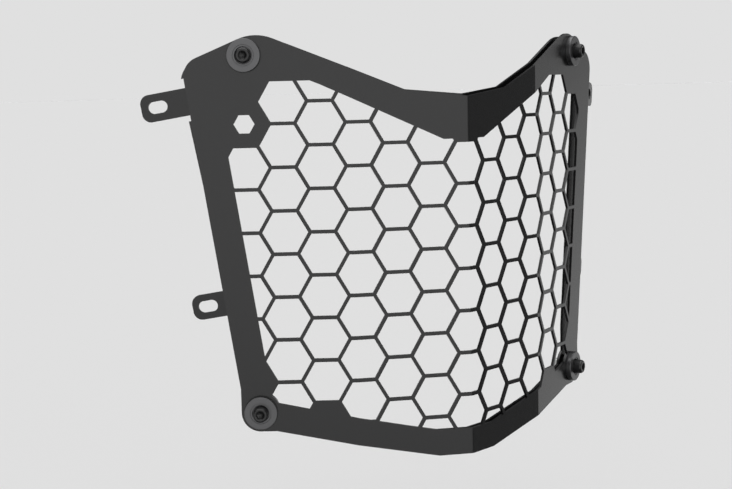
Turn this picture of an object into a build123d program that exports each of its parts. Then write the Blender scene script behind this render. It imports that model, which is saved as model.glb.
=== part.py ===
from build123d import *
import math
import os

os.makedirs("parts", exist_ok=True)

# Motorcycle headlight guard: a folded honeycomb sheet screwed, at its four corners and
# over rubber spacers, to a folded open frame whose slotted tabs bolt to the bike.
# The guard faces -Y and +Z is up. Both sheets are drawn flat, as they are cut: u runs along
# the sheet from the middle fold, v is the height above the middle of the top solid cell.
# All lengths are in millimetres and all angles in degrees.

# Both sheets
sheet = 1.5                   # thickness
bend_radius = 2.0             # inside radius of every fold
middle_slope = 18.6           # how far the inner faces slope back from the middle fold
side_turn = 11.8              # how much more the outer faces slope back
side_fold_u = 65.6            # middle fold to side fold, on the flat sheet

# Honeycomb
cell_pitch = 24.0             # from one opening to the next
web = 2.0                     # metal left between two openings
least_share = 0.183           # a cut cell with a smaller share of its opening stays solid
small_hole = 10.0             # across the flats, in the one cell that stays nearly solid

# Outer outline of the guard, by its sharp corners
crown_v = 12.65               # top edge at the middle fold
knee_u = 35.7                 # where the top edge turns up
knee_v = 16.6
corner_u = 158.05             # outermost point
corner_v = 33.25
shoulder_in = 40.65           # from there in to the highest point, above the screws
shoulder_v = 50.25
side_lean = 8.45              # the sides draw in towards the bottom
base_half = 19.5              # half of the level stretch at the bottom
base_v = -190.4
bottom_rise = 11.5            # how the bottom edge climbs to the sides
shoulder_radius = 25.0
corner_radius = 11.0

# Solid borders round the honeycomb
side_border = 16.6
bottom_border = 14.8          # at the level stretch
border_rise = 12.3            # its upper edge climbs a little faster than the bottom edge
crown_border = 23.6
crown_half = 14.0             # half of the level stretch under the crown
shoulder_border = 27.2
brow_in = 29.75               # from the shoulder in to where the border's edge turns level
brow_out = 7.0                # and to where it turns down again
corner_border = 21.25         # deeper from here out, under the screws
corner_border_in = 40.55      # from the outermost corner in to its start

# Rear frame
rear_border = 14.1            # its open middle starts this far in from the guard's outline
rear_side_border = 15.8       # and this far at the sides
rear_proud = 3.0              # how far its outermost corners stand out past the guard's
rear_corner_drop = 2.0        # and how much lower they are, along the frame's side line
rear_corner_radius = 13.5
rear_extra_lean = 2.05        # its sides draw in faster than the guard's by this much
rear_crown_rise = 1.2         # its top edge stands above the guard's at the middle fold
rear_knee_rise = 0.45         # and at the knee
rear_shoulder_radius = 45.0
spacer_thickness = 3.0        # rubber spacer, which sets the gap between the sheets

# Tabs of the rear frame
tab_lean = 9.3                # they stand square to a line that leans this much
tab_turn = 6.5                # how far they are bent back
tab_corner_radius = 5.0
slot_width = 6.6              # passes an M6 screw
slot_length = 11.0
tabs = {
    "upper": {"v": 12.75, "width": 15.2, "reach": 24.8, "slot_at": 15.3, "fold_at": -3.0},
    "lower": {"v": -99.0, "width": 14.0, "reach": 20.9, "slot_at": 12.0, "fold_at": 1.9},
}
relief_depth = 3.0            # bend relief in the side edge, at the upper tabs
relief_above = 5.1            # its run past the tab, upwards
relief_below = 3.2            # and downwards

# Corner fixings: M5 screws, square to the outer faces
upper_screw_in = 34.2         # from the outermost corner
upper_screw_up = 4.15
lower_screw_in = 7.7          # from the sharp lower corner
lower_screw_up = 7.45
boss_radius = 10.8            # rounded lug about each lower screw; the frame has one at each screw
keep_out_radius = 11.2        # no opening comes nearer to a lower screw
screw_diameter = 5.0
screw_length = 16.0
screw_tip_chamfer = 0.5
head_diameter = 8.5
head_height = 5.0
head_chamfer = 0.4
socket_flats = 4.0
socket_depth = 2.5
sheet_hole = 5.5              # clearance hole in both sheets
disc_diameter = 18.5          # large washer under the head
disc_thickness = 3.0
disc_edge_radius = 0.6
disc_dish_diameter = 11.6     # shallow recess round the head
disc_dish_depth = 0.35
washer_hole = 5.3
spacer_diameter = 14.0
spacer_edge_radius = 0.4
washer_diameter = 10.0
washer_thickness = 1.0
nut_flats = 8.0
nut_height = 5.0
nut_hex_height = 3.6          # the rest is the round collar of the locking ring
nut_round_diameter = 8.96     # the turned blank that takes the tips off the hexagon
nut_round_chamfer = 0.35
nut_collar_diameter = 7.4
nut_collar_radius = 0.6
thread_clearance = 0.05       # between the plain shank and the plain bore of the nut

shoulder_u = corner_u - shoulder_in
rear_lean = side_lean + rear_extra_lean
outer_slope = middle_slope + side_turn
lattice = cell_pitch / math.sqrt(3)           # side of one cell of the lattice
column_step = 1.5 * lattice
opening_flats = cell_pitch - web
sheet_pitch = spacer_thickness + sheet        # middle of one sheet to middle of the other
rear_setback = sheet_pitch / math.cos(math.radians(outer_slope))
rear_slip = sheet_pitch * math.tan(math.radians(outer_slope))
rear_corner = corner_u - rear_slip + rear_proud
past = 3.0                    # how far cutting shapes run past what they cut
reach_u = corner_u + 30.0     # length of the folded blank, past the outline


def tangent(slope):
    """Direction along a face that slopes back by this angle, on the right-hand side"""
    return Vector(math.cos(math.radians(slope)), math.sin(math.radians(slope)), 0)


def face_plane(slope, start, start_u, setback=0.0):
    """Plane of a face's middle surface, whose own x is u and whose own y is v"""
    along = tangent(slope)
    outward = Vector(along.Y, -along.X, 0)
    return Plane(start - along * start_u + Vector(0, setback, 0), x_dir=along, z_dir=outward)


side_fold_point = tangent(middle_slope) * side_fold_u


def inner_plane(setback=0.0):
    return face_plane(middle_slope, Vector(0, 0, 0), 0.0, setback)


def outer_plane(setback=0.0):
    return face_plane(outer_slope, side_fold_point, side_fold_u, setback)


def offset_path(points, distance):
    """The path moved sideways by a distance, with its corners where the moved lines meet"""
    moved = []
    directions = [(b - a).normalized() for a, b in zip(points, points[1:])]
    normals = [Vector(d.Y, -d.X, 0) for d in directions]
    for i, point in enumerate(points):
        before = normals[max(i - 1, 0)]
        after = normals[min(i, len(normals) - 1)]
        middle = (before + after).normalized()
        moved.append(point + middle * (distance / middle.dot(after)))
    return moved


def folded_section(points):
    """Section of a folded sheet along a path of its middle surface; each fold turns the same way"""
    outside = offset_path(points, sheet / 2)
    inside = offset_path(points, -sheet / 2)
    edges = Curve() + [
        FilletPolyline(*outside, radius=bend_radius + sheet),
        FilletPolyline(*inside, radius=bend_radius),
        Line(outside[0], inside[0]),
        Line(outside[-1], inside[-1]),
    ]
    return make_face(edges)


def folded_blank(setback, top, bottom):
    """The folded sheet before its outline is cut, from one end to the other"""
    end = side_fold_point + tangent(outer_slope) * (reach_u - side_fold_u)
    right = [side_fold_point, end]
    left = [Vector(-p.X, p.Y, 0) for p in reversed(right)]
    section = folded_section(left + [Vector(0, 0, 0)] + right)
    return Pos(0, setback, bottom) * extrude(section, amount=top - bottom)


def gradient(angle):
    return math.tan(math.radians(angle))


def side_u(v, corner, lean):
    """Where a side edge with this lean and outermost corner lies at height v"""
    return corner - (corner_v - v) * gradient(lean)


def low_corner(corner, level, climb):
    """Where a guard's side line meets a bottom line that climbs from this level"""
    run = gradient(side_lean)
    rise = gradient(climb)
    u = (corner - (corner_v - level + base_half * rise) * run) / (1 - rise * run)
    return u, level + (u - base_half) * rise


def outline(corner, drop, lean, top, radii, slip, middle_cut):
    """One half of a sheet's outline, from its outermost corner, the corner's drop along the side,
    the side's lean, the heights of its crown and knee and its shoulder's and corner's radii;
    slip draws in the rest, for a sheet behind"""
    shoulder = (shoulder_u - slip, shoulder_v)
    outermost = (corner - drop * gradient(lean), corner_v - drop)
    screw_u, screw_v = lower_screw(slip)
    lug_u = screw_u + boss_radius
    lug_v = screw_v - boss_radius
    half = Polygon(
        (-middle_cut, top[0]),
        (0, top[0]),
        (knee_u - slip, top[1]),
        shoulder,
        outermost,
        (lug_u, corner_v - (corner - lug_u) / gradient(lean)),
        (lug_u, lug_v),
        (base_half + (lug_v - base_v) / gradient(bottom_rise), lug_v),
        (base_half, base_v),
        (-middle_cut, base_v),
        align=None,
    )
    half = fillet(nearest(half.vertices(), shoulder), radii[0])
    half = fillet(nearest(half.vertices(), outermost), radii[1])
    return fillet(nearest(half.vertices(), (lug_u, lug_v)), boss_radius)


def guard_outline(slip, middle_cut, side_step=0.0):
    """The guard's own outline, drawn in by slip, and its sides by side_step more"""
    corner = corner_u - slip - side_step
    radii = (shoulder_radius, corner_radius)
    return outline(corner, 0.0, side_lean, (crown_v, knee_v), radii, slip, middle_cut)


def rear_outline(middle_cut):
    """The rear frame's outline: it stands out past the guard's at the top and the upper corners"""
    top = (crown_v + rear_crown_rise, knee_v + rear_knee_rise)
    radii = (rear_shoulder_radius, rear_corner_radius)
    return outline(rear_corner, rear_corner_drop, rear_lean, top, radii, rear_slip, middle_cut)


def nearest(vertices, point):
    """The vertex nearest to a point"""
    return vertices.sort_by_distance(Vector(point[0], point[1], 0))[0]


def upper_screw(slip=0.0):
    return corner_u - upper_screw_in - slip, corner_v + upper_screw_up


def lower_screw(slip=0.0):
    u, v = low_corner(corner_u, base_v, bottom_rise)
    return u - lower_screw_in - slip, v + lower_screw_up


def screw_holes(slip):
    """Clearance holes for the two screws of one side"""
    return [Pos(*place) * Circle(sheet_hole / 2) for place in (upper_screw(slip), lower_screw(slip))]


def mesh_window():
    """Area of the front sheet that openings may take, for both halves"""
    inner_corner = corner_u - side_border
    side_top_v = corner_v - corner_border
    right = [
        (crown_half, crown_v - crown_border),
        (shoulder_u - brow_in, shoulder_v - shoulder_border),
        (shoulder_u - brow_out, shoulder_v - shoulder_border),
        (corner_u - corner_border_in, side_top_v),
        (side_u(side_top_v, inner_corner, side_lean), side_top_v),
        low_corner(inner_corner, base_v + bottom_border, border_rise),
        (base_half, base_v + bottom_border),
    ]
    left = [(-u, v) for u, v in reversed(right)]
    window = Polygon(*right, *left, align=None)
    for place in (lower_screw(), (-lower_screw()[0], lower_screw()[1])):
        window -= Pos(*place) * Circle(keep_out_radius)
    return window


def hexagon(flats):
    """Flat-topped hexagon, by its size across the flats"""
    return RegularPolygon(radius=flats / 2, side_count=6, major_radius=False, rotation=0)


def cell_centres():
    """Column, row and place of each cell of one half, the middle column included"""
    for column in range(int(corner_u / column_step) + 1):
        offset = 0.5 * (column % 2)
        for row in range(-int(shoulder_v / cell_pitch), int(-base_v / cell_pitch) + 1):
            yield column, row + offset, (column * column_step, -(row + offset) * cell_pitch)


def openings(solid_cell):
    """Openings of one half; the solid cell, if any, keeps only a small hole"""
    window = mesh_window()
    full = hexagon(opening_flats)
    found = []
    for column, row, place in cell_centres():
        if (column, row) == solid_cell:
            found.append((column, Pos(*place) * hexagon(small_hole)))
            continue
        cut = window & (Pos(*place) * full)
        area = cut.area if cut else 0.0
        if area > least_share * full.area:
            found.append((column, cut))
    return found


def half_spaces(setback):
    """Blocks that take the inner and the outer face of the right-hand half of a blank"""
    size = 4 * corner_u
    halfway = middle_slope + side_turn / 2
    fold = Plane(side_fold_point + Vector(0, setback, 0), x_dir=(0, 0, 1), z_dir=tangent(halfway))
    right = Pos(size / 2, 0, 0) * Box(size, size, size)
    beyond = extrude(fold * Rectangle(size, size), amount=size)
    return right - beyond, beyond


def folded_half(blank, setback, inner_region, outer_region):
    """Right-hand half of a sheet: each face of the blank, cut square to itself"""
    inner_space, outer_space = half_spaces(setback)
    depth = 4 * sheet
    inner = extrude(inner_plane(setback) * inner_region, amount=depth, both=True)
    outer = extrude(outer_plane(setback) * outer_region, amount=depth, both=True)
    return (blank & inner_space & inner) + (blank & outer_space & outer)


def guard_half(solid_cell):
    """Right-hand half of the honeycomb guard"""
    blank = folded_blank(0.0, shoulder_v + past, base_v - past)
    region = guard_outline(0.0, past) - screw_holes(0.0)
    cuts = openings(solid_cell)
    fold_column = side_fold_u / column_step
    inner = region - [cut for column, cut in cuts if column < fold_column + 1]
    outer = region - [cut for column, cut in cuts if column > fold_column - 1]
    return folded_half(blank, 0.0, inner, outer)


def honeycomb_guard():
    """Front sheet; one cell at the left-hand end is solid but for its small hole"""
    left = mirror(guard_half((6, 0.0)), about=Plane.YZ)
    return guard_half(None) + left


def rear_window():
    """Open middle of the rear frame, clear of a lug at each screw"""
    outer = guard_outline(rear_slip, 2 * rear_border, rear_side_border - rear_border)
    inner = offset(outer, amount=-rear_border, kind=Kind.INTERSECTION)
    places = (upper_screw(rear_slip), lower_screw(rear_slip))
    return inner - [Pos(*place) * Circle(boss_radius) for place in places]


def tab_solid(tab):
    """One tab, bent back along a line beside the frame's edge, with its slot"""
    u = side_u(tab["v"], rear_corner, rear_lean)
    edge_frame = outer_plane(rear_setback) * Pos(u, tab["v"], 0) * Rot(0, 0, -tab_lean)
    root = -relief_depth - past
    back = tab["reach"] - tab["fold_at"]
    turn = math.radians(tab_turn)
    fold = Vector(tab["fold_at"], 0, 0)
    tip = fold + Vector(back * math.cos(turn), back * math.sin(turn), 0)
    strip = extrude(folded_section([Vector(root, 0, 0), fold, tip]), amount=tab["width"] / 2, both=True)
    tip_face = strip.faces().sort_by(Axis.X)[-1]
    strip = fillet(tip_face.edges().sort_by(SortBy.LENGTH)[:2], tab_corner_radius)
    slot_frame = Plane(fold, x_dir=(tip - fold).normalized(), z_dir=(-math.sin(turn), math.cos(turn), 0))
    slot = slot_frame * Pos(tab["slot_at"] - tab["fold_at"], 0, 0) * SlotOverall(slot_length, slot_width)
    strip -= extrude(slot, amount=2 * sheet, both=True)
    return edge_frame * Rot(-90, 0, 0) * strip


def rear_half():
    """Right-hand half of the rear frame, with its two tabs"""
    blank = folded_blank(rear_setback, shoulder_v + past, base_v - past)
    region = rear_outline(past) - rear_window() - screw_holes(rear_slip)
    relief_v = tabs["upper"]["v"] + (relief_above - relief_below) / 2
    relief = Rectangle(2 * relief_depth, tabs["upper"]["width"] + relief_above + relief_below)
    region -= Pos(side_u(relief_v, rear_corner, rear_lean), relief_v, 0) * Rot(0, 0, -rear_lean) * relief
    half = folded_half(blank, rear_setback, region, region)
    for tab in tabs.values():
        half += tab_solid(tab)
    return half


def rear_frame():
    half = rear_half()
    return half + mirror(half, about=Plane.YZ)


def ring(outer, hole, thickness):
    """Flat ring whose lower face lies at zero"""
    return extrude(Circle(outer / 2) - Circle(hole / 2), amount=thickness)


def cap_screw():
    """Socket head cap screw; the head's seat lies at zero and the shank runs down"""
    head = extrude(Circle(head_diameter / 2), amount=head_height)
    head = chamfer(head.faces().sort_by(Axis.Z)[-1].edges(), head_chamfer)
    socket = extrude(hexagon(socket_flats), amount=socket_depth)
    head -= Pos(0, 0, head_height - socket_depth) * socket
    shank = extrude(Circle(screw_diameter / 2), amount=-screw_length)
    shank = chamfer(shank.faces().sort_by(Axis.Z)[0].edges(), screw_tip_chamfer)
    return head + shank


def disc_washer():
    """Large washer under the head, rounded at its edge and recessed round the head"""
    disc = ring(disc_diameter, washer_hole, disc_thickness)
    rim = disc.faces().sort_by(Axis.Z)[-1].outer_wire().edges()
    disc = fillet(rim, disc_edge_radius)
    dish = Pos(0, 0, disc_thickness - disc_dish_depth) * ring(
        disc_dish_diameter, head_diameter, disc_dish_depth + past)
    return disc - dish


def rubber_spacer():
    spacer = ring(spacer_diameter, washer_hole, spacer_thickness)
    rims = [face.outer_wire().edges() for face in spacer.faces().filter_by(Plane.XY)]
    return fillet([edge for rim in rims for edge in rim], spacer_edge_radius)


def lock_nut():
    """Hexagon nut with the round collar of its locking ring; its seat lies at the top"""
    bore = screw_diameter + 2 * thread_clearance
    nut = extrude(hexagon(nut_flats), amount=-nut_hex_height)
    round_off = extrude(Circle(nut_round_diameter / 2), amount=-nut_hex_height)
    rims = round_off.faces().filter_by(Plane.XY).edges()
    nut &= chamfer(rims, nut_round_chamfer)
    collar = extrude(Circle(nut_collar_diameter / 2), amount=-nut_height)
    collar = fillet(collar.faces().sort_by(Axis.Z)[0].edges(), nut_collar_radius)
    return nut + collar - extrude(Circle(bore / 2), amount=-nut_height)


def stack(name):
    """The five pieces of one fixing, on its own axis, with the front sheet's middle at zero"""
    front = sheet / 2
    rear_back = front - sheet_pitch - sheet
    return {
        "cap_screw_" + name: Pos(0, 0, front + disc_thickness) * cap_screw(),
        "disc_washer_" + name: Pos(0, 0, front) * disc_washer(),
        "rubber_spacer_" + name: Pos(0, 0, front - sheet - spacer_thickness) * rubber_spacer(),
        "plain_washer_" + name: Pos(0, 0, rear_back - washer_thickness)
        * ring(washer_diameter, washer_hole, washer_thickness),
        "lock_nut_" + name: Pos(0, 0, rear_back - washer_thickness) * lock_nut(),
    }


def build():
    """Every piece by its name, placed on the folded sheets"""
    pieces = {"honeycomb_guard": honeycomb_guard(), "rear_frame": rear_frame()}
    for level, place in (("upper", upper_screw()), ("lower", lower_screw())):
        for name, piece in stack(level).items():
            placed = outer_plane() * Pos(*place, 0) * piece
            pieces[name + "_right"] = placed
            pieces[name + "_left"] = mirror(placed, about=Plane.YZ)
    return pieces


pieces = build()
box = Compound(children=[Compound(piece.solids()) for piece in pieces.values()]).bounding_box()
to_centre = Pos(-box.center())
for name, piece in pieces.items():
    export_step(to_centre * piece, os.path.join("parts", name + ".step"))
    print(name, "solids", len(piece.solids()), "volume", round(piece.volume, 1))
print("overall size", box.size, "centre of the box before the shift", box.center())
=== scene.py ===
import math
import bmesh
import bpy
import numpy as np
from mathutils import Matrix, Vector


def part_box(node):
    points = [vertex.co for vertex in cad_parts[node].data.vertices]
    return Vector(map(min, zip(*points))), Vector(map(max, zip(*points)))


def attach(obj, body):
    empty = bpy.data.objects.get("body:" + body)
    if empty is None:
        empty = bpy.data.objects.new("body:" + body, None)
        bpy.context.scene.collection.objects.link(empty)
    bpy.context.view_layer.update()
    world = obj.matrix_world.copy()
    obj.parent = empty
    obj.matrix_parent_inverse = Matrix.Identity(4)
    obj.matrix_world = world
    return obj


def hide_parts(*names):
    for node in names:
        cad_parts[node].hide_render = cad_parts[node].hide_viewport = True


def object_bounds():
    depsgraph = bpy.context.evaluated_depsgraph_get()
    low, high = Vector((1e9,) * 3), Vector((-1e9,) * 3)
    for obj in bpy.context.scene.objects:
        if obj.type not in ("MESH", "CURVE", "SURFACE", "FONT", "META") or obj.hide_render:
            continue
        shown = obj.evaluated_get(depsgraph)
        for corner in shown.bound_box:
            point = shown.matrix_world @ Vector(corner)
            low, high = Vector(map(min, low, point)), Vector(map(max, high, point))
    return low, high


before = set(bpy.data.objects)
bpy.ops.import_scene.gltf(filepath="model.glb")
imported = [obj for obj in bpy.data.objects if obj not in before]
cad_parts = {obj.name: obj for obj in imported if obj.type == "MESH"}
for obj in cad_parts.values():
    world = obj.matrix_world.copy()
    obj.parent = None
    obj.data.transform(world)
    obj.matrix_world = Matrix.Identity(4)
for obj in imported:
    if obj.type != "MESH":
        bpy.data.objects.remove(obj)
cad_low, cad_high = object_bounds()


# Folded sheets: the honeycomb guard in front and the open frame behind it, laser cut from
# steel, folded, and powder coated black. The coat flows round every cut edge, so each sheet
# is the CAD solid with its triangles joined and its edges eased by the coat.
coat_edge = 0.0001
shortest_edge = 0.0002
flat_within = math.radians(0.2)
sharp_beyond = math.radians(40)
area_weight = 60
coat_colour = (0.0072, 0.0072, 0.0075)


def grain_group():
    """Node group: a fine grain of a given size as Height, and a slow drift of 0 to 1 as Tone"""
    group = bpy.data.node_groups.new("fine_grain", "ShaderNodeTree")
    group.interface.new_socket(name="Size", in_out="INPUT", socket_type="NodeSocketFloat")
    group.interface.new_socket(name="Height", in_out="OUTPUT", socket_type="NodeSocketFloat")
    group.interface.new_socket(name="Tone", in_out="OUTPUT", socket_type="NodeSocketFloat")
    nodes, links = group.nodes, group.links
    inputs = nodes.new("NodeGroupInput")
    outputs = nodes.new("NodeGroupOutput")
    place = nodes.new("ShaderNodeTexCoord")
    per_size = nodes.new("ShaderNodeMath")
    per_size.operation = "DIVIDE"
    per_size.inputs[0].default_value = 1.0
    links.new(inputs.outputs["Size"], per_size.inputs[1])
    grain = nodes.new("ShaderNodeTexNoise")
    grain.inputs["Detail"].default_value = 3.0
    grain.inputs["Roughness"].default_value = 0.6
    links.new(place.outputs["Object"], grain.inputs["Vector"])
    links.new(per_size.outputs[0], grain.inputs["Scale"])
    drift = nodes.new("ShaderNodeTexNoise")
    drift.inputs["Scale"].default_value = 22.0
    drift.inputs["Detail"].default_value = 4.0
    links.new(place.outputs["Object"], drift.inputs["Vector"])
    links.new(grain.outputs["Fac"], outputs.inputs["Height"])
    links.new(drift.outputs["Fac"], outputs.inputs["Tone"])
    return group


fine_grain = grain_group()


def grained(name, colour, roughness, grain_size, grain_depth, drift=0.1):
    """Material with the fine grain as its bump; colour and roughness drift by a share, times
    1 - drift where the group's Tone is 0 and 1 + drift where it is 1"""
    material = bpy.data.materials.new(name)
    material.use_nodes = True
    nodes, links = material.node_tree.nodes, material.node_tree.links
    shader = nodes["Principled BSDF"]
    grain = nodes.new("ShaderNodeGroup")
    grain.node_tree = fine_grain
    grain.inputs["Size"].default_value = grain_size
    shade = nodes.new("ShaderNodeMix")
    shade.data_type = "RGBA"
    shade.inputs[6].default_value = tuple(c * (1 - drift) for c in colour) + (1.0,)
    shade.inputs[7].default_value = tuple(c * (1 + drift) for c in colour) + (1.0,)
    links.new(grain.outputs["Tone"], shade.inputs[0])
    links.new(shade.outputs[2], shader.inputs["Base Color"])
    gloss = nodes.new("ShaderNodeMapRange")
    gloss.inputs["To Min"].default_value = roughness * (1 - drift)
    gloss.inputs["To Max"].default_value = roughness * (1 + drift)
    links.new(grain.outputs["Tone"], gloss.inputs["Value"])
    links.new(gloss.outputs["Result"], shader.inputs["Roughness"])
    bump = nodes.new("ShaderNodeBump")
    bump.inputs["Strength"].default_value = 1.0
    bump.inputs["Distance"].default_value = grain_depth
    links.new(grain.outputs["Height"], bump.inputs["Height"])
    links.new(bump.outputs["Normal"], shader.inputs["Normal"])
    return material


powder_coat = grained("powder_coat", coat_colour, roughness=0.24, grain_size=0.00045, grain_depth=0.00001)
powder_coat.node_tree.nodes["Principled BSDF"].inputs["IOR"].default_value = 1.56


def eased_sheet(name, node):
    """The CAD solid's triangles joined into one skin, with flat runs merged and edges rounded"""
    skin = bmesh.new()
    skin.from_mesh(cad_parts[node].data)
    bmesh.ops.remove_doubles(skin, verts=skin.verts, dist=shortest_edge)
    bmesh.ops.dissolve_limit(skin, angle_limit=flat_within, verts=skin.verts, edges=skin.edges)
    for face in skin.faces:
        face.smooth = True
    mesh = bpy.data.meshes.new(name)
    skin.to_mesh(mesh)
    skin.free()
    sheet = bpy.data.objects.new(name, mesh)
    bpy.context.scene.collection.objects.link(sheet)
    ease = sheet.modifiers.new("eased_edges", "BEVEL")
    ease.width = coat_edge
    ease.segments = 2
    ease.limit_method = "ANGLE"
    ease.angle_limit = sharp_beyond
    ease.use_clamp_overlap = True
    flow = sheet.modifiers.new("flat_faces", "WEIGHTED_NORMAL")
    flow.weight = area_weight
    mesh.materials.append(powder_coat)
    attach(sheet, "root")
    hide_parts(node)


eased_sheet("guard_sheet", "honeycomb_guard")
eased_sheet("frame_sheet", "rear_frame")


# Rubber spacers: moulded rings between the two sheets, one at each screw, squeezed into a
# slight barrel. Every fixing's own axes start from the middle of its spacer.
outer_slope = math.radians(30.4)
sides = ("right", "left")
levels = ("upper", "lower")
fixings = [(level, side) for level in levels for side in sides]
steps = 144
turn = np.arange(steps) / steps * 2 * math.pi
turned_sharp_beyond = math.radians(35)


def fixing_axes(level, side):
    """Middle of a fixing and its axes: along the sheet (cos a, sin a, 0), up (0, 0, 1), and out of
    the sheet's front (sin a, -cos a, 0), with a the outer slope, negative on the left"""
    low, high = (np.array(corner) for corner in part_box(f"rubber_spacer_{level}_{side}"))
    middle = (low + high) / 2
    lean = math.copysign(math.sin(outer_slope), middle[0])
    across = math.cos(outer_slope)
    return middle, np.array([[across, lean, 0], [0, 0, 1], [lean, -across, 0]])


def turned(name, profile, level, side, closed=True):
    """Rings carried round a fixing's axis: point (r cos t, r sin t, h) for each turn t and each pair
    r, h of the profile in millimetres, either one a number or one value for each t; closed joins
    the last ring to the first, and otherwise both ends are capped"""
    radii = np.array([np.broadcast_to(radius, steps) for radius, height in profile]) / 1000
    heights = np.array([np.broadcast_to(height, steps) for radius, height in profile]) / 1000
    own = np.stack([radii * np.cos(turn), radii * np.sin(turn), heights], axis=-1)
    middle, axes = fixing_axes(level, side)
    points = (middle + own @ axes).reshape(-1, 3)
    count = len(profile)
    here = np.arange(count if closed else count - 1)[:, None]
    after = (here + 1) % count
    now = np.arange(steps)[None, :]
    then = (now + 1) % steps
    near, far = here * steps, after * steps
    quads = np.stack([near + now, near + then, far + then, far + now], axis=-1)
    faces = quads.reshape(-1, 4).tolist()
    if not closed:
        faces.append(list(range(steps))[::-1])
        faces.append(list(range((count - 1) * steps, count * steps)))
    mesh = bpy.data.meshes.new(name)
    mesh.from_pydata(points.tolist(), [], faces)
    skin = bmesh.new()
    skin.from_mesh(mesh)
    bmesh.ops.recalc_face_normals(skin, faces=skin.faces)
    for face in skin.faces:
        face.smooth = True
    skin.to_mesh(mesh)
    skin.free()
    mesh.set_sharp_from_angle(angle=turned_sharp_beyond)
    radius_of_point = mesh.attributes.new("turned_radius", "FLOAT", "POINT")
    radius_of_point.data.foreach_set("value", radii.ravel().astype(np.float32))
    piece = bpy.data.objects.new(name, mesh)
    bpy.context.scene.collection.objects.link(piece)
    flow = piece.modifiers.new("flat_faces", "WEIGHTED_NORMAL")
    flow.weight = area_weight
    flow.keep_sharp = True
    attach(piece, "root")
    return piece


def rounded(inner, outer, low, high, radius, bulge=0.0):
    """Closed profile of a ring: four rounded corners, and an outer wall that swells by bulge halfway"""
    quarter = np.radians(np.arange(0, 91, 30))
    corners = [(inner + radius, low + radius, 180), (outer - radius, low + radius, 270),
               (outer - radius, high - radius, 0), (inner + radius, high - radius, 90)]
    profile = []
    for centre_r, centre_h, start in corners:
        for angle in quarter + math.radians(start):
            profile.append((centre_r + radius * math.cos(angle), centre_h + radius * math.sin(angle)))
    belly = ((0.35, 0.9), (0.5, 1.0), (0.65, 0.9))
    swell = [(outer + bulge * share, low + (high - low) * at) for at, share in belly]
    return profile[:8] + swell + profile[8:]


bore = 2.65
spacer_radius = 6.85
half_height = 1.5
spacer_profile = rounded(bore, spacer_radius, -half_height, half_height, 0.4, bulge=0.15)
rubber_colour = (0.012, 0.012, 0.012)
rubber = grained("moulded_rubber", rubber_colour, roughness=0.72, grain_size=0.0006, grain_depth=0.00002)
for level, side in fixings:
    spacer = turned(f"spacer_{level}_{side}", spacer_profile, level, side)
    spacer.data.materials.append(rubber)
    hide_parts(f"rubber_spacer_{level}_{side}")


# Disc washers: thick turned aluminium, anodised dark grey, with a rounded rim, a shallow dish and
# a narrow deep gap round the screw's head. The lathe's fine rings still show under the anodising.
# Heights here and below are in millimetres from the spacer's middle, and the head lies at top.
seat = 3.0
top = 6.0
disc_radius = 9.25
rim_radius = 0.4
dish_radius = 5.8
dish_depth = 0.35
gap_radius = 4.78
gap_depth = 2.4
hub_radius = 4.1
disc_colour = (0.140, 0.140, 0.143)


def lathe_rings(name, colour, roughness, metallic, ring_width, ring_depth):
    """Grained metal with fine rings: a noise along each point's own distance from the lathe's axis"""
    material = grained(name, colour, roughness, 0.0005, 0.000004, 0.06)
    nodes, links = material.node_tree.nodes, material.node_tree.links
    shader = nodes["Principled BSDF"]
    shader.inputs["Metallic"].default_value = metallic
    distance = nodes.new("ShaderNodeAttribute")
    distance.attribute_name = "turned_radius"
    rings = nodes.new("ShaderNodeTexNoise")
    rings.noise_dimensions = "1D"
    rings.inputs["Scale"].default_value = 1.0 / ring_width
    rings.inputs["Detail"].default_value = 2.0
    links.new(distance.outputs["Fac"], rings.inputs["W"])
    cut = nodes.new("ShaderNodeBump")
    cut.inputs["Strength"].default_value = 1.0
    cut.inputs["Distance"].default_value = ring_depth
    grain_bump = shader.inputs["Normal"].links[0].from_node
    links.new(rings.outputs["Fac"], cut.inputs["Height"])
    links.new(grain_bump.outputs["Normal"], cut.inputs["Normal"])
    links.new(cut.outputs["Normal"], shader.inputs["Normal"])
    return material


anodised = lathe_rings("dark_anodised", disc_colour, 0.34, 0.85, ring_width=0.00016, ring_depth=0.000006)
dish_floor = top - dish_depth
gap_floor = top - gap_depth
rim = [(disc_radius - rim_radius + rim_radius * math.sin(a), top - rim_radius + rim_radius * math.cos(a))
       for a in np.radians(np.arange(90, -1, -15))]
disc_profile = [
    (bore, seat + 0.1), (bore + 0.1, seat), (9.05, seat), (9.2, seat + 0.05), (disc_radius, seat + 0.2),
    *rim,
    (dish_radius + 0.1, top), (dish_radius + 0.04, top - 0.04), (dish_radius, top - 0.1),
    (dish_radius, dish_floor + 0.06), (dish_radius - 0.06, dish_floor),
    (gap_radius + 0.07, dish_floor), (gap_radius, dish_floor - 0.07),
    (gap_radius, gap_floor + 0.1), (gap_radius - 0.1, gap_floor),
    (hub_radius + 0.1, gap_floor), (hub_radius, gap_floor + 0.1), (hub_radius, top - 0.05),
    (hub_radius - 0.05, top), (bore + 0.1, top), (bore, top - 0.1),
]
for level, side in fixings:
    disc = turned(f"disc_{level}_{side}", disc_profile, level, side)
    disc.data.materials.append(anodised)
    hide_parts(f"disc_washer_{level}_{side}")


# Cap screws: M5 socket heads of blackened steel with a knurled side and an eased rim. The
# thread is rolled below a plain neck, and its last turn stands out of the nut behind.
head_radius = 4.25
head_top = top + 5.0
ridges = 36
ridge_depth = 0.13
socket_flats = 4.0
neck = 2.5
neck_length = 8.0
pitch = 0.8
thread_depth = 0.44
thread_end = 15.5


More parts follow.
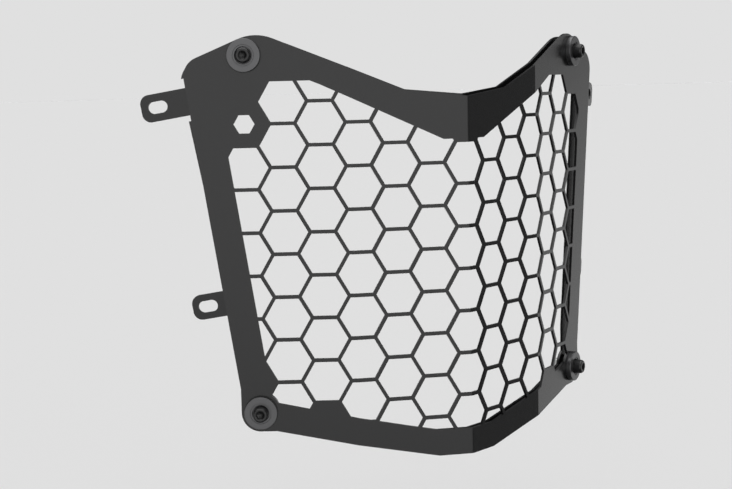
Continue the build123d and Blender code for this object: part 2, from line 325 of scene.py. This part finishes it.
def hexagon_radius(flats):
    """Distance from the middle to a hexagon's side at each angle t, with a corner at angle zero:
    flats / 2 / cos(t mod 60 degrees - 30 degrees)"""
    return flats / 2 / np.cos(np.mod(turn, math.pi / 3) - math.pi / 6)


def thread_radius(height, depth):
    """Radius of a thread at one height: neck - depth * clip(1.6 (1 - |2 p - 1|) - 0.3, 0, 1), with p
    the share of a pitch gone by, so a crest, a slope, a root and a slope once in each pitch"""
    phase = np.mod(height / pitch - turn / (2 * math.pi), 1.0)
    return neck - depth * np.clip(1.6 * (1 - np.abs(2 * phase - 1)) - 0.3, 0.0, 1.0)


black_colour = (0.0085, 0.0085, 0.0090)
blackened = grained("blackened_steel", black_colour, roughness=0.30, grain_size=0.0003, grain_depth=0.000006)
blackened.node_tree.nodes["Principled BSDF"].inputs["Specular IOR Level"].default_value = 0.6
knurl = head_radius - ridge_depth * (1 - np.cos(ridges * turn)) / 2
socket = hexagon_radius(socket_flats)
screw_profile = [
    (0.15, top + 1.95), (socket * 0.97, top + 2.5), (socket, top + 2.55), (socket, head_top - 0.28),
    (np.maximum(socket, 2.3), head_top - 0.1), (2.46, head_top), (3.3, head_top),
    (3.46, head_top - 0.04), (3.66, head_top - 0.16), (3.86, head_top - 0.38),
    (4.02, head_top - 0.7), (4.14, head_top - 1.1), (knurl, head_top - 1.3),
    (knurl, top + 0.5), (4.2, top + 0.35), (4.2, top + 0.1), (4.1, top),
    (neck + 0.05, top), (neck, top - 0.1), (neck, top - neck_length),
]
thread_start = neck_length + 0.2
for height in np.arange(thread_start, thread_end - 0.05, 0.1):
    depth = thread_depth * min(1.0, (height - thread_start) / pitch)
    screw_profile.append((thread_radius(height, depth), top - height))
tip = thread_radius(thread_end, thread_depth)
screw_profile += [
    (tip, top - thread_end),
    (np.minimum(tip, 2.25), top - thread_end - 0.25),
    (2.0, top - thread_end - 0.5),
]
for level, side in fixings:
    screw = turned(f"screw_{level}_{side}", screw_profile, level, side, closed=False)
    screw.data.materials.append(blackened)
    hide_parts(f"cap_screw_{level}_{side}")


# Plain washers behind the frame: punched from zinc-plated steel, so their edges are a little
# round. One lies under each nut.
frame_back = -3.0
nut_seat = frame_back - 1.0
zinc_colour = (0.56, 0.565, 0.56)
zinc = lathe_rings("zinc_plate", zinc_colour, 0.3, 1.0, ring_width=0.0004, ring_depth=0.000003)
washer_profile = rounded(bore, 5.0, nut_seat, frame_back, 0.14)
for level, side in fixings:
    washer = turned(f"washer_{level}_{side}", washer_profile, level, side)
    washer.data.materials.append(zinc)
    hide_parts(f"plain_washer_{level}_{side}")


# Lock nuts: zinc-plated hexagon nuts with turned-off corners and a rolled collar, which holds
# a ring of white nylon that grips the screw's thread.
flats = hexagon_radius(8.0)
nut_corner = np.minimum(flats, 4.5)
drop = (nut_corner - 3.8) * math.tan(math.radians(30))
nut_profile = [
    (2.53, nut_seat - 0.3), (2.8, nut_seat), (3.75, nut_seat), (3.8, nut_seat - 0.01),
    (nut_corner, nut_seat - 0.02 - np.maximum(drop, 0)),
    (nut_corner, nut_seat - 3.58 + np.maximum(drop, 0)),
    (3.8, nut_seat - 3.59), (3.7, nut_seat - 3.68), (3.68, nut_seat - 4.3), (3.6, nut_seat - 4.7),
    (3.4, nut_seat - 4.93), (3.2, nut_seat - 5.0), (3.02, nut_seat - 4.93), (2.95, nut_seat - 4.7),
    (2.95, nut_seat - 3.5), (2.53, nut_seat - 3.5),
]
ring_profile = rounded(2.51, 2.97, nut_seat - 4.72, nut_seat - 3.55, 0.1)
nylon_colour = (0.62, 0.61, 0.56)
nylon = grained("white_nylon", nylon_colour, roughness=0.5, grain_size=0.0004, grain_depth=0.00001)
for level, side in fixings:
    nut = turned(f"nut_{level}_{side}", nut_profile, level, side)
    nut.data.materials.append(zinc)
    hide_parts(f"lock_nut_{level}_{side}")
    ring = turned(f"nut_ring_{level}_{side}", ring_profile, level, side)
    ring.data.materials.append(nylon)


# Studio: a pale floor below the guard, clear from underneath, and a sky of soft light panels
# round it. The panels are painted in the world by direction, so that they light every place
# alike. The sky itself is seen as the plain pale backdrop.
backdrop_level = 0.745
top_light = 1.75
fill_light = 0.05
floor_colour = (0.805, 0.805, 0.805, 1.0)
floor_drop = 0.10
floor_reach = 30.0
floor_level = cad_low[2] - floor_drop
floor_mesh = bpy.data.meshes.new("floor")
ends = [(-1, -1), (1, -1), (1, 1), (-1, 1)]
floor_mesh.from_pydata([(x * floor_reach, y * floor_reach, floor_level) for x, y in ends], [], [(0, 1, 2, 3)])
floor = bpy.data.objects.new("floor", floor_mesh)
bpy.context.scene.collection.objects.link(floor)
floor_paint = bpy.data.materials.new("floor_paint")
floor_paint.use_nodes = True
paint_nodes, paint_links = floor_paint.node_tree.nodes, floor_paint.node_tree.links
matt = paint_nodes["Principled BSDF"]
matt.inputs["Base Color"].default_value = floor_colour
matt.inputs["Roughness"].default_value = 1.0
matt.inputs["Specular IOR Level"].default_value = 0.0
underside = paint_nodes.new("ShaderNodeNewGeometry")
clear = paint_nodes.new("ShaderNodeBsdfTransparent")
one_sided = paint_nodes.new("ShaderNodeMixShader")
paint_links.new(underside.outputs["Backfacing"], one_sided.inputs["Fac"])
paint_links.new(matt.outputs["BSDF"], one_sided.inputs[1])
paint_links.new(clear.outputs["BSDF"], one_sided.inputs[2])
paint_links.new(one_sided.outputs["Shader"], paint_nodes["Material Output"].inputs["Surface"])
floor_mesh.materials.append(floor_paint)
floor.visible_glossy = False

sky = bpy.data.worlds.new("studio")
bpy.context.scene.world = sky
sky.use_nodes = True
sky_nodes, sky_links = sky.node_tree.nodes, sky.node_tree.links
sky_nodes.clear()
look = sky_nodes.new("ShaderNodeTexCoord")
heading = sky_nodes.new("ShaderNodeVectorMath")
heading.operation = "NORMALIZE"
sky_links.new(look.outputs["Generated"], heading.inputs[0])
flatten = sky_nodes.new("ShaderNodeVectorMath")
flatten.operation = "MULTIPLY"
flatten.inputs[1].default_value = (1.0, 1.0, 0.0)
sky_links.new(look.outputs["Generated"], flatten.inputs[0])
compass = sky_nodes.new("ShaderNodeVectorMath")
compass.operation = "NORMALIZE"
sky_links.new(flatten.outputs[0], compass.inputs[0])
height = sky_nodes.new("ShaderNodeSeparateXYZ")
sky_links.new(heading.outputs[0], height.inputs[0])


def window(source, closed, opened, level=1.0):
    """Soft edge of a panel: 0 where the source is at closed, rising or falling to level at opened"""
    edge = sky_nodes.new("ShaderNodeMapRange")
    edge.interpolation_type = "SMOOTHSTEP"
    edge.inputs["From Min"].default_value = closed
    edge.inputs["From Max"].default_value = opened
    edge.inputs["To Min"].default_value = 0.0
    edge.inputs["To Max"].default_value = level
    sky_links.new(source, edge.inputs["Value"])
    return edge.outputs["Result"]


def combined(operation, first, second):
    """Sum or product of two values in the sky"""
    step = sky_nodes.new("ShaderNodeMath")
    step.operation = operation
    sky_links.new(first, step.inputs[0])
    sky_links.new(second, step.inputs[1])
    return step.outputs[0]


# Each panel: compass angle of its middle, half angles where it is full and where it has faded,
# heights where its foot and its head close and open, and its strength.
panels = [
    (-109, 30, 53, (-0.78, 0.04), (0.62, 0.22), 1.10),
    (-35, 22, 42, (-0.90, -0.50), (0.60, 0.20), 0.13),
    (75, 62, 84, (-0.90, -0.45), (0.32, -0.20), 0.84),
]
light_sum = window(height.outputs["Z"], 0.55, 0.90, top_light)
for azimuth, full, faded, foot, head, strength in panels:
    aim = sky_nodes.new("ShaderNodeVectorMath")
    aim.operation = "DOT_PRODUCT"
    aim.inputs[1].default_value = (math.cos(math.radians(azimuth)), math.sin(math.radians(azimuth)), 0)
    sky_links.new(compass.outputs[0], aim.inputs[0])
    faded_at, full_at = math.cos(math.radians(faded)), math.cos(math.radians(full))
    across = window(aim.outputs["Value"], faded_at, full_at, strength)
    upright = combined("MULTIPLY", window(height.outputs["Z"], *foot), window(height.outputs["Z"], *head))
    light_sum = combined("ADD", light_sum, combined("MULTIPLY", across, upright))
fill = sky_nodes.new("ShaderNodeMath")
fill.operation = "ADD"
fill.inputs[1].default_value = fill_light
sky_links.new(light_sum, fill.inputs[0])
panel_light = sky_nodes.new("ShaderNodeBackground")
panel_light.inputs["Color"].default_value = (1.0, 1.0, 1.0, 1.0)
sky_links.new(fill.outputs[0], panel_light.inputs["Strength"])
seen = sky_nodes.new("ShaderNodeBackground")
seen.inputs["Color"].default_value = (1.0, 1.0, 1.0, 1.0)
seen.inputs["Strength"].default_value = backdrop_level
path = sky_nodes.new("ShaderNodeLightPath")
choose = sky_nodes.new("ShaderNodeMixShader")
sky_links.new(path.outputs["Is Camera Ray"], choose.inputs["Fac"])
sky_links.new(panel_light.outputs[0], choose.inputs[1])
sky_links.new(seen.outputs[0], choose.inputs[2])
world_out = sky_nodes.new("ShaderNodeOutputWorld")
sky_links.new(choose.outputs[0], world_out.inputs["Surface"])
bpy.context.scene.view_settings.view_transform = "Standard"


# Camera: where the photograph was taken from, to the front and left of the guard and a little
# above its middle, with the same field of view.
camera = bpy.data.objects.new("photo_camera", bpy.data.cameras.new("photo_camera"))
bpy.context.scene.collection.objects.link(camera)
camera.data.sensor_width = 36.0
camera.data.lens = 71.383
right = (0.860820, -0.508375, -0.023329)
upward = (0.077454, 0.085567, 0.993317)
backward = (-0.502982, -0.856874, 0.113033)
stand = (-0.46027, -0.71246, 0.09402)
rows = [(right[i], upward[i], backward[i], stand[i]) for i in range(3)]
camera.matrix_world = Matrix(rows + [(0, 0, 0, 1)])
bpy.context.scene.camera = camera
